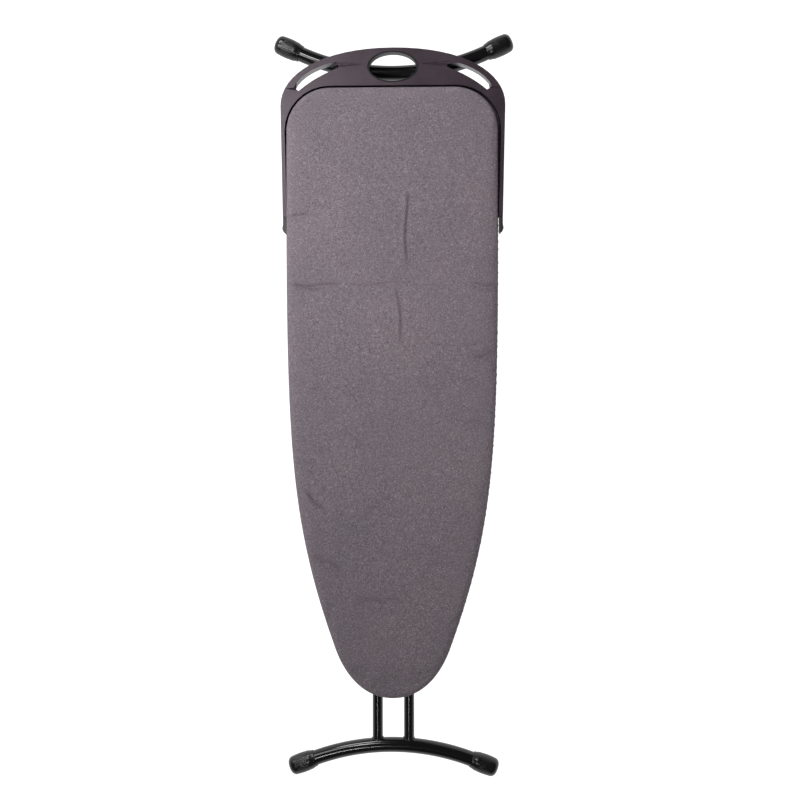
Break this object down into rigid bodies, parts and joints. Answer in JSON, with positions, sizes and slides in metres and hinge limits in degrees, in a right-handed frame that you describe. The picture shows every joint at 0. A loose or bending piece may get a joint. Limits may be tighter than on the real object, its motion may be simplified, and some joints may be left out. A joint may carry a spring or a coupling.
{
  "type": "ironing board",
  "caption": "Folding ironing board: padded fabric top on a steel frame, moulded tail frame with a grip hole and hanger slots, crossed tube legs with arched feet.",
  "frame": {"origin": "middle of the base of the folded board's bounding box", "axes": "+Y from the nose to the tail, +Z out of the fabric face, +X to the right of the face seen with the tail up"},
  "size_m": [0.516, 1.588, 0.078],
  "materials": {
    "fabric": "heather cotton weave, matt",
    "foam": "needled felt padding",
    "steel": "grey powder coat, satin",
    "black_tube": "gloss black powder coat",
    "black_plastic": "moulded, fine grain",
    "frame_plastic": "moulded, satin, dark purple grey",
    "zinc": "bright zinc plate"
  },
  "bodies": {
    "board": {"arm_clip_left": "black_plastic", "arm_clip_right": "black_plastic", "axle_nut_left": "zinc", "axle_nut_right": "zinc", "board_panel": "steel", "board_rim": "steel", "cover": "fabric", "foam_pad": "foam", "frame_bracket_left": "steel", "frame_bracket_right": "steel", "frame_screw_1": "zinc", "frame_screw_2": "zinc", "frame_screw_3": "zinc", "frame_screw_4": "zinc", "front_brace": "steel", "handle_ring": "black_plastic", "hinge_axle": "zinc", "hinge_bracket_left": "steel", "hinge_bracket_right": "steel", "middle_brace": "steel", "rack": "steel", "rear_brace": "steel", "slide_rail_left": "steel", "slide_rail_right": "steel", "tail_frame": "frame_plastic"},
    "front_leg": {"front_foot_cap_left": "black_plastic", "front_foot_cap_right": "black_plastic", "front_foot_tube": "black_tube", "front_leg_brace": "black_tube", "front_leg_tube_left": "black_tube", "front_leg_tube_right": "black_tube", "hinge_spacer_left": "black_plastic", "hinge_spacer_right": "black_plastic"},
    "rear_leg": {"rear_foot_cap_left": "black_plastic", "rear_foot_cap_right": "black_plastic", "rear_foot_tube": "black_tube", "rear_leg_brace": "black_tube", "rear_leg_tube_left": "black_tube", "rear_leg_tube_right": "black_tube", "scissor_bolt_left": "zinc", "scissor_bolt_right": "zinc", "scissor_nut_left": "zinc", "scissor_nut_right": "zinc", "scissor_spacer_left": "black_plastic", "scissor_spacer_right": "black_plastic"},
    "carriage": {"bar_spacer_left": "black_plastic", "bar_spacer_right": "black_plastic", "lever_pin": "zinc", "lever_spring": "zinc", "lever_yoke": "steel", "slide_bar": "zinc", "slide_shoe_left": "black_plastic", "slide_shoe_right": "black_plastic"},
    "lever": {"lever_grip": "black_plastic", "release_lever": "steel"}
  },
  "joints": [
    {"name": "legs_unfold", "type": "hinge", "parent": "board", "child": "front_leg", "pos_m": [0, 0.48025, 0.05386], "axis": [1, 0, 0], "range_deg": [0, 45]},
    {"name": "leg_scissor", "type": "hinge", "parent": "front_leg", "child": "rear_leg", "pos_m": [0, 0.00042, 0.04129], "axis": [1, 0, 0], "range_deg": [-90, 0]},
    {"name": "carriage_turn", "type": "hinge", "parent": "rear_leg", "child": "carriage", "pos_m": [0, -0.47942, 0.05386], "axis": [1, 0, 0], "range_deg": [0, 45]},
    {"name": "lever_squeeze", "type": "hinge", "parent": "carriage", "child": "lever", "pos_m": [0, -0.51142, 0.05086], "axis": [-1, 0, 0], "range_deg": [0, 9], "stiffness_Nm_per_rad": 0.5}
  ],
  "couplings": [
    {"joint": "leg_scissor", "follows": "legs_unfold", "ratio": -2},
    {"joint": "carriage_turn", "follows": "legs_unfold", "ratio": 1}
  ]
}
